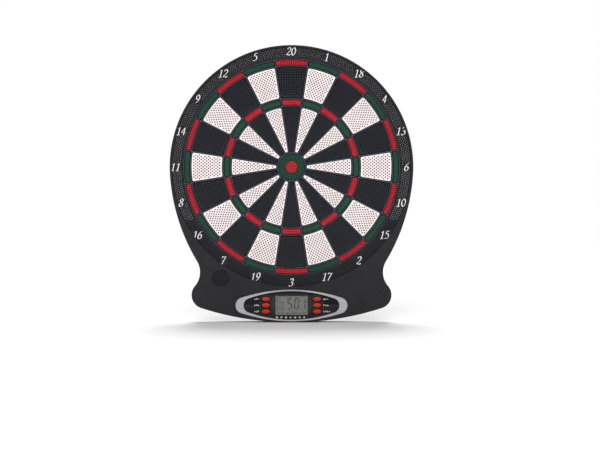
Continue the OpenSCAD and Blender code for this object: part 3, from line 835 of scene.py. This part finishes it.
def smooth_path(points, steps=5):
    """A Catmull-Rom curve through the points."""
    p = [Vector(q) for q in points]
    if len(p) < 3:
        return p
    p = [p[0] * 2 - p[1]] + p + [p[-1] * 2 - p[-2]]
    out = []
    for a, b, c, d in zip(p, p[1:], p[2:], p[3:]):
        for i in range(steps):
            t = i / steps
            square, cube = 2 * a - 5 * b + 4 * c - d, 3 * b - a - 3 * c + d
            out.append(0.5 * (2 * b + (c - a) * t + square * t * t + cube * t ** 3))
    return out + [p[-2]]


def stroke(solid, points, thick, thin, back, front):
    """A pen stroke as a thin raised strip: wide across the nib, narrow along it."""
    path = smooth_path(points)
    left, right = [], []
    for i, p in enumerate(path):
        way = (path[min(i + 1, len(path) - 1)] - path[max(i - 1, 0)]).normalized()
        normal = Vector((-way.y, way.x))
        reach = math.hypot(thick / 2 * normal.dot(NIB), thin / 2)
        left.append(tuple(p + normal * reach))
        right.append(tuple(p - normal * reach))
    top = [solid.ring(side, front) for side in (left, right)]
    foot = [solid.ring(side, back) for side in (left, right)]
    for i in range(len(path) - 1):
        for a, b in ((top[0], top[1]), (top[1], foot[1]), (foot[1], foot[0]), (foot[0], top[0])):
            solid.faces.append((a[i], a[i + 1], b[i + 1], b[i]))
    for i in (0, len(path) - 1):
        solid.faces.append((top[0][i], top[1][i], foot[1][i], foot[0][i]))


def write(solid, text, centre, height, back, front, thick=0.125, thin=0.04, slant=SLANT, pitch=0.62):
    """Upright slanted digits centred on a point."""
    width = pitch * len(text)
    for place, digit in enumerate(text):
        for path in DIGITS[digit]:
            points = []
            for x, z in path:
                x += pitch * place - width / 2 + (z - 0.5) * slant
                points.append((centre[0] + x * height, centre[1] + (z - 0.5) * height))
            stroke(solid, points, thick * height, thin * height, back, front)


NUMERAL_R, NUMERAL_H = 184.9, 12.4
NUMERAL_SINK, NUMERAL_RISE = 0.1, 0.12
numerals = Solid()
for k, number in enumerate(NUMBERS):
    spot = polar(NUMERAL_R, k * SECTOR)
    write(numerals, str(number), spot, NUMERAL_H, RING_FRONT - NUMERAL_SINK, RING_FRONT + NUMERAL_RISE)
numerals.build("ring_numerals", M["print"], "case")

# The mesh is open to the light behind it at the top and backed by the case lower down
RING_IN_R, RING_OUT_R = 173.8, 191
RING_HOLE_R = {"open": 0.42, "backed": 0.9}
RING_HOLE_ROWS, RING_HOLE_COUNT = (178.0, 180.9, 183.8, 186.7, 189.3), 280
BACKED_BELOW = -86.5
# Half the plain pad behind a numeral, for one digit's width, plus the slack at its sides and ends
PAD_DIGIT, PAD_SIDE, PAD_END = 3.6, 1.6, 1.4


def on_pad(spot, angle):
    """Whether a hole would run into the plain pad behind the nearest numeral."""
    nearest = round(angle / SECTOR) % len(NUMBERS)
    pad = polar(NUMERAL_R, nearest * SECTOR)
    half_width = PAD_DIGIT * len(str(NUMBERS[nearest])) + PAD_SIDE
    return abs(spot[0] - pad[0]) < half_width and abs(spot[1] - pad[1]) < NUMERAL_H / 2 + PAD_END


ring_holes = []
for row, radius in enumerate(RING_HOLE_ROWS):
    for i in range(RING_HOLE_COUNT):
        angle = 360 / RING_HOLE_COUNT * (i + (row % 2) / 2)
        spot = polar(radius, angle)
        if not on_pad(spot, angle):
            hole_r = RING_HOLE_R["backed" if spot[1] < BACKED_BELOW else "open"]
            ring_holes.append(circle(hole_r, spot, PIT_SIDES, PIT_TURN))
ring = Solid()
ring.plate(
    circle(RING_OUT_R, count=240), [circle(RING_IN_R, count=240)] + ring_holes, RING_BACK, RING_FRONT,
    ((0.5, 0), (0.15, 0.12), (0, 0.5)), ((0.18, 0), (0, 0.2)),
)
ring.build("ring_plate", M["ring"], "case", ["number_ring"], 50)

# ---- case ---------------------------------------------------------------------------------

SHOULDER_Z, WALL = -84.0, 2.2
SEAT_R, PAN_R = 191.3, 176.4
TRIM_HALF, FASCIA_HALF = (89.6, 25.2), (76.2, 22.6)
SPEAKER, GRILLE_R = (-113.0, -178.0), 15.0
ROUND = 1.5
SHELF_X = 155, 180.5
HEAD_BACK, POST_BACK, RIB_BACK, SEAT_BACK = 16, 18.7, 18, 22
RIB_HALF, BOSS_R, BOSS_AT_R = 0.8, 4, 183


def round_edge(radius, steps=6):
    """Steps of (inset, drop) for a quarter-round edge."""
    turns = [math.radians(90 * i / steps) for i in range(steps + 1)]
    return [(radius * (1 - math.sin(t)), radius * (1 - math.cos(t))) for t in turns]


SLOT_PITCH, SLOT_HALF, SLOT_BOW, SLOT_END, SLOT_RISE = 3.7, 0.85, 2.4, 1.4, 0.8


def slot_loop(centre, half):
    """A slot with round ends that bows upwards in the middle."""
    count = 10
    line = [Vector((half * (2 * i / count - 1), 0)) for i in range(count + 1)]
    for p in line:
        p.y = -SLOT_BOW * (p.x / GRILLE_R) ** 2
    lean = math.degrees(math.atan(2 * SLOT_BOW * half / GRILLE_R ** 2))
    upper = [(p.x, p.y + SLOT_HALF) for p in line[1:-1]]
    lower = [(p.x, p.y - SLOT_HALF) for p in line[1:-1]]
    right = arc(tuple(line[-1]), SLOT_HALF, lean, 180 + lean, 30)
    left = arc(tuple(line[0]), SLOT_HALF, 180 - lean, 360 - lean, 30)
    return moved(upper + right + lower[::-1] + left, *centre)


grille = []
for k in range(-3, 4):
    half = math.sqrt(GRILLE_R ** 2 - (SLOT_PITCH * k) ** 2) - SLOT_END
    grille.append(slot_loop((SPEAKER[0], SPEAKER[1] + SLOT_PITCH * k + SLOT_RISE), half))

shell = Solid()
panel_opening = moved(oval(TRIM_HALF[0] + 0.3, TRIM_HALF[1] + 0.3), 0, PANEL_Z)
shell.plate(
    case_outline(), [circle(SEAT_R, count=240), panel_opening] + grille,
    CASE_FRONT - ROUND - 0.3, CASE_FRONT, round_edge(ROUND), ((0.1, 0), (0, 0.1)),
)
outer_line, inner_line = case_outline(), case_outline(WALL)
low_outer = [p for p in outer_line if p[1] < SHOULDER_Z]
low_inner = [p for p in inner_line if p[1] < SHOULDER_Z]
shell.plate(low_outer + low_inner[::-1], [], CASE_BACK, CASE_FRONT - ROUND)
start = next(i for i, p in enumerate(outer_line) if p[1] < SHOULDER_Z)
stop = len(outer_line) - next(i for i, p in enumerate(reversed(outer_line)) if p[1] < SHOULDER_Z)
high_outer = outer_line[stop:] + outer_line[:start]
reach = math.degrees(math.acos(SHOULDER_Z / SEAT_R))
shell.plate(high_outer + arc((0, 0), SEAT_R, reach, -reach, 2), [], HEAD_BACK, CASE_FRONT - ROUND)
for side in (-1, 1):
    x0, x1 = side * SHELF_X[0], side * SHELF_X[1]
    under_z = SHOULDER_Z - WALL
    corners = [(x0, SHOULDER_Z), (x1, SHOULDER_Z), (x1 - side * 0.8, under_z), (x0, under_z)]
    shell.plate(corners, [], CASE_BACK, RING_BACK)
for outer_r, inner_r, back in (
    (PAN_R, 174.6, CASE_BACK), (PAN_R, 173.6, POST_BACK), (SEAT_R + 1.2, 190.4, SEAT_BACK),
):
    shell.plate(circle(outer_r, count=180), [circle(inner_r, count=180)], back, RING_BACK)
rib = rectangle(2 * RIB_HALF, SEAT_R + 0.8 - PAN_R + 0.5, (0, (SEAT_R + 0.8 + PAN_R - 0.5) / 2))
for k in range(len(NUMBERS)):
    shell.plate(turned(rib, k * SECTOR), [], RIB_BACK, RING_BACK)
for k in (0, 2, 4, -2, -4):
    shell.plate(circle(BOSS_R, polar(BOSS_AT_R, k * SECTOR), 32), [], CASE_BACK, RING_BACK)
shell.build("front_shell", M["housing"], "case", ["front_housing"], 35)

# ---- control panel ------------------------------------------------------------------------


def on_panel(loop, x=0.0, z=0.0):
    return moved(loop, x, PANEL_Z + z)


trim = Solid()
TRIM_EDGE = ((1.2, 0), (0.7, 0.1), (0.32, 0.35), (0.1, 0.8), (0, 1.4))
trim.plate(
    on_panel(oval(*TRIM_HALF)), [on_panel(oval(FASCIA_HALF[0] + 0.3, FASCIA_HALF[1] + 0.3))],
    FASCIA_BACK, TRIM_FRONT, TRIM_EDGE, ((0.4, 0), (0.15, 0.15), (0, 0.5)),
)
trim.build("panel_trim", M["trim"], "case", ["trim_ring"], 60)

BUTTONS = []
for side_name, side in (("l", -1), ("r", 1)):
    for row in range(BUTTON_ROWS):
        BUTTONS.append((f"button_{side_name}{row + 1}", side * BUTTON_X, (1 - row) * BUTTON_PITCH))
BUTTON_HOLE, BUTTON_CAP, BUTTON_FLANGE, FLANGE_T = (6.8, 4.0), (6.5, 3.7), (7.4, 4.5), 0.6
# Steps of (inset, drop) of the crown; the ends of the oval draw in faster than its sides
CROWN = ((0, 1.5), (0.12, 1.0), (0.5, 0.6), (1.2, 0.3), (2.0, 0.1), (2.8, 0))
END_DRAW = 1.3
WINDOW, WINDOW_LAP, CORNER = (52.0, 31.0), 0.7, 0.8
fascia = Solid()
openings = [on_panel(rounded(rectangle(*WINDOW), CORNER, 3))]
openings += [on_panel(ellipse(*BUTTON_HOLE), x, z) for _, x, z in BUTTONS]
fascia.plate(
    on_panel(oval(*FASCIA_HALF)), openings, FASCIA_BACK, FASCIA_FRONT,
    ((0.5, 0), (0, 0.4)), ((0.35, 0), (0, 0.3)),
)
fascia.build("panel_fascia", M["fascia"], "case", ["control_panel"], 50)

for name, x, z in BUTTONS:
    low, high = depth_of(name)
    cap = Solid()
    levels = [(on_panel(ellipse(*BUTTON_CAP), x, z), low)]
    for i, drop in CROWN:
        loop = ellipse(BUTTON_CAP[0] - END_DRAW * i, BUTTON_CAP[1] - i)
        levels.append((on_panel(loop, x, z), high - drop))
    cap.dome(levels)
    cap.plate(on_panel(ellipse(*BUTTON_FLANGE), x, z), [], low, low + FLANGE_T)
    cap.build(f"{name}_cap", M["button"], name, [name], 60)

window = Solid()
low, high = depth_of("lcd_window")
pane = rounded(rectangle(WINDOW[0] + 2 * WINDOW_LAP, WINDOW[1] + 2 * WINDOW_LAP), CORNER, 3)
window.plate(on_panel(pane), [], low, high, ((0.2, 0), (0, 0.2)))
window.build("display_window", M["window"], "case", ["lcd_window"])

glass = Solid()
glass_back, glass_front = depth_of("lcd_glass")
glass.plate(on_panel(rectangle(54, 34)), [], glass_back, glass_front, ((0.3, 0), (0, 0.3)))
glass.build("display_glass", M["lcd"], "case", ["lcd_glass"])

# Bars of a seven-segment digit: place of the centre across and up the digit, and direction
BARS = {
    "a": ((0.5, 1), 0), "b": ((1, 0.75), 90), "c": ((1, 0.25), 90), "d": ((0.5, 0), 0),
    "e": ((0, 0.25), 90), "f": ((0, 0.75), 90), "g": ((0.5, 0.5), 0),
}
LIT = {"0": "abcdef", "1": "bc", "5": "acdfg"}


def bar(solid, centre, along, length, width, back, front, lean=0.0):
    """A bar with pointed ends."""
    a = math.radians(along)
    u, v = Vector((math.cos(a), math.sin(a))), Vector((-math.sin(a), math.cos(a)))
    half = length / 2 - width / 2
    shape = [
        (-half, -width / 2), (half, -width / 2), (length / 2, 0),
        (half, width / 2), (-half, width / 2), (-length / 2, 0),
    ]
    loop = []
    for p, q in shape:
        point = Vector(centre) + u * p + v * q
        loop.append((point.x + (point.y - PANEL_Z) * lean, point.y))
    solid.plate(loop, [], back, front)


DIGIT_W, DIGIT_H, DIGIT_Z, BAR_W, BAR_GAP, DIGIT_LEAN = 8.6, 19.0, 2.5, 2.5, 0.3, 0.05
INK_BACK, INK_FRONT = glass_front - 0.2, glass_front + 0.25
MARK_FRONT = INK_FRONT - 0.05
ink = Solid()
for digit, x in (("5", -2.8), ("0", 8.2), ("1", 18.4)):
    for name in LIT[digit]:
        (u, v), along = BARS[name]
        length = (DIGIT_W - BAR_W if along == 0 else (DIGIT_H - BAR_W) / 2) - BAR_GAP
        centre = (x + (u - 0.5) * (DIGIT_W - BAR_W), PANEL_Z + DIGIT_Z + (v - 0.5) * (DIGIT_H - BAR_W))
        bar(ink, centre, along, length, BAR_W, INK_BACK, INK_FRONT, DIGIT_LEAN)
ink.build("display_digits", M["lcd_ink"], "case")

# Blocks at the left of the display, first place and pitch, and small characters along its foot
BLOCK_AT, BLOCK_PITCH, BLOCK_SHARE = (-22.5, 11.5), (4.3, 3.1), 0.8
CHARACTER_X, CHARACTER_Z, CHARACTER_PITCH = -20.5, -12.6, 6.9
faint = Solid()
for row in range(7):
    for column in range(3):
        if random.random() < BLOCK_SHARE:
            size = (2.6 + random.random() * 1.3, 1.7)
            spot = (BLOCK_AT[0] + BLOCK_PITCH[0] * column, BLOCK_AT[1] - BLOCK_PITCH[1] * row)
            block = on_panel(rounded(rectangle(*size), 0.4, 2), *spot)
            faint.plate(block, [], INK_BACK, MARK_FRONT)
for k in range(7):
    x, z = CHARACTER_X + CHARACTER_PITCH * k, PANEL_Z + CHARACTER_Z
    for along, length, dx in ((90, 3.6, -1.3), (90, 3.6, 1.3), (0, 2.4, 0)):
        bar(faint, (x + dx, z), along, length, 0.7, INK_BACK, MARK_FRONT, 0.06)
faint.build("display_faint_marks", M["lcd_faint"], "case")

PRINT_BACK, PRINT_FRONT = FASCIA_FRONT - 0.05, FASCIA_FRONT + 0.06
LABEL_X, LABEL_PITCH, LABEL_Z, LABEL_H = -23.4, 7.3, PANEL_Z - 19.0, 2.5
marks = Solid()
for k, text in enumerate(("20", "19", "18", "17", "16", "15")):
    spot = (LABEL_X + LABEL_PITCH * k, LABEL_Z)
    write(marks, text, spot, LABEL_H, PRINT_BACK, PRINT_FRONT, 0.22, 0.12, 0.0, 0.64)
bull_mark = (LABEL_X + LABEL_PITCH * 6, LABEL_Z)
marks.plate(circle(1.3, bull_mark, 24), [circle(0.85, bull_mark, 24)], PRINT_BACK, PRINT_FRONT)
marks.plate(circle(0.45, bull_mark, 16), [], PRINT_BACK, PRINT_FRONT)

SIGN_PITCH = 2.9


def pictogram(solid, x, z, shapes):
    """A row of small signs: triangle, bars, ring or dot."""
    for i, shape in enumerate(shapes):
        at = (x + SIGN_PITCH * i, PANEL_Z + z)
        if shape == "triangle":
            triangle = moved([(-0.9, -1.0), (1.0, 0), (-0.9, 1.0)], *at)
            solid.plate(triangle, [], PRINT_BACK, PRINT_FRONT)
        elif shape == "bars":
            for up in (0, 1.1):
                solid.plate(rectangle(2.0, 0.6, (at[0], at[1] + up)), [], PRINT_BACK, PRINT_FRONT)
        elif shape == "ring":
            solid.plate(circle(1.1, at, 20), [circle(0.65, at, 20)], PRINT_BACK, PRINT_FRONT)
        else:
            solid.plate(circle(0.6, at, 16), [], PRINT_BACK, PRINT_FRONT)


for x, row, shapes in (
    (-58.5, 1, ("triangle", "bars", "dot")), (-58.5, 0, ("ring", "bars", "triangle")),
    (-59.0, -1, ("dot", "ring", "bars")), (52.0, 1, ("ring", "triangle", "dot")),
    (52.0, 0, ("bars", "dot", "ring")), (52.0, -1, ("triangle", "bars", "ring", "dot")),
):
    pictogram(marks, x, row * BUTTON_PITCH, shapes)
marks.build("panel_marks", M["print"], "case")

# ---- battery springs ----------------------------------------------------------------------


def springs():
    """Conical wire springs between the contact plates and the cells."""
    low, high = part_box("battery_springs")
    cells_low, cells_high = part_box("batteries")
    middle = (cells_low[0] + cells_high[0]) / 2
    pitch = (cells_high[0] - cells_low[0] - (cells_high[1] - cells_low[1])) / 2
    y = (low[1] + high[1]) / 2
    wire_r, foot_r, taper = 0.35 * MM, 4.3, 1.9
    curve = bpy.data.curves.new("contact_springs", "CURVE")
    curve.dimensions = "3D"
    curve.bevel_depth = wire_r
    curve.bevel_resolution = 3
    curve.use_fill_caps = True
    turns, steps = 4.5, 20
    count = int(turns * steps)
    for k in (-1, 0, 1):
        spline = curve.splines.new("POLY")
        spline.points.add(count)
        for i, point in enumerate(spline.points):
            t = i / count
            radius = (foot_r - taper * t) * MM
            a = 2 * math.pi * turns * t
            z = low[2] + wire_r + (high[2] - low[2] - 2 * wire_r) * t
            point.co = (middle + k * pitch + radius * math.cos(a), y + radius * math.sin(a), z, 1)
    obj = bpy.data.objects.new("contact_springs", curve)
    obj.data.materials.append(M["nickel"])
    bpy.context.scene.collection.objects.link(obj)
    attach(obj, "case")
    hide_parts("battery_springs")


springs()

# ---- stage --------------------------------------------------------------------------------


def floor():
    size = 6.0
    z = cad_box[0][2] - 0.2 * MM
    corners = [(-size, -size, z), (size, -size, z), (size, size, z), (-size, size, z)]
    mesh = bpy.data.meshes.new("floor")
    mesh.from_pydata(corners, [], [(0, 1, 2, 3)])
    obj = bpy.data.objects.new("floor", mesh)
    m = Nodes("floor_paint")
    m.colour(m.ramp(m.noise(3, 2), [(0.3, srgb(250, 250, 250)), (0.7, srgb(253, 253, 253))]))
    m.fixed(Roughness=0.9, Specular_IOR_Level=0.1)
    mesh.materials.append(m.material)
    bpy.context.scene.collection.objects.link(obj)


def sun(name, bearing_from, elevation, strength, spread, mirrored):
    """A soft sun; its bearing is 0 in front of the board and turns towards the viewer's left."""
    light = bpy.data.lights.new(name, "SUN")
    light.energy = strength
    light.angle = math.radians(spread)
    obj = bpy.data.objects.new(name, light)
    e, a = math.radians(elevation), math.radians(bearing_from)
    to_sun = Vector((-math.sin(a) * math.cos(e), -math.cos(a) * math.cos(e), math.sin(e)))
    obj.rotation_euler = (-to_sun).to_track_quat("-Z", "Y").to_euler()
    obj.visible_glossy = mirrored
    bpy.context.scene.collection.objects.link(obj)


def world():
    """White to the eye, but dim as a lamp so that dark plastic doesn't mirror a white room."""
    sky = bpy.data.worlds.new("studio")
    sky.use_nodes = True
    tree = sky.node_tree
    seen = tree.nodes.new("ShaderNodeLightPath").outputs["Is Camera Ray"]
    span = tree.nodes.new("ShaderNodeMapRange")
    span.inputs["To Min"].default_value = AMBIENT
    span.inputs["To Max"].default_value = 1.0
    tree.links.new(seen, span.inputs["Value"])
    background = tree.nodes["Background"]
    background.inputs["Color"].default_value = (1, 1, 1, 1)
    tree.links.new(span.outputs["Result"], background.inputs["Strength"])
    bpy.context.scene.world = sky


def camera():
    """Straight at the board, level, a little right of its middle and below the bull."""
    distance, view_width, sensor = 1.8, 0.96, 36
    data = bpy.data.cameras.new("camera")
    data.sensor_width = sensor
    data.lens = sensor * (distance - SEGMENT_FRONT * MM) / view_width
    obj = bpy.data.objects.new("camera", data)
    obj.location = (0.0136, -distance, -0.093)
    obj.rotation_euler = (math.radians(90), 0, 0)
    bpy.context.scene.collection.objects.link(obj)
    bpy.context.scene.camera = obj


AMBIENT = 0.22
floor()
world()
sun("back_sun", 180, 64, 2.1, 34, True)
sun("front_sun", 4, 30, 2.05, 45, False)
camera()
bpy.context.scene.view_settings.view_transform = "Standard"
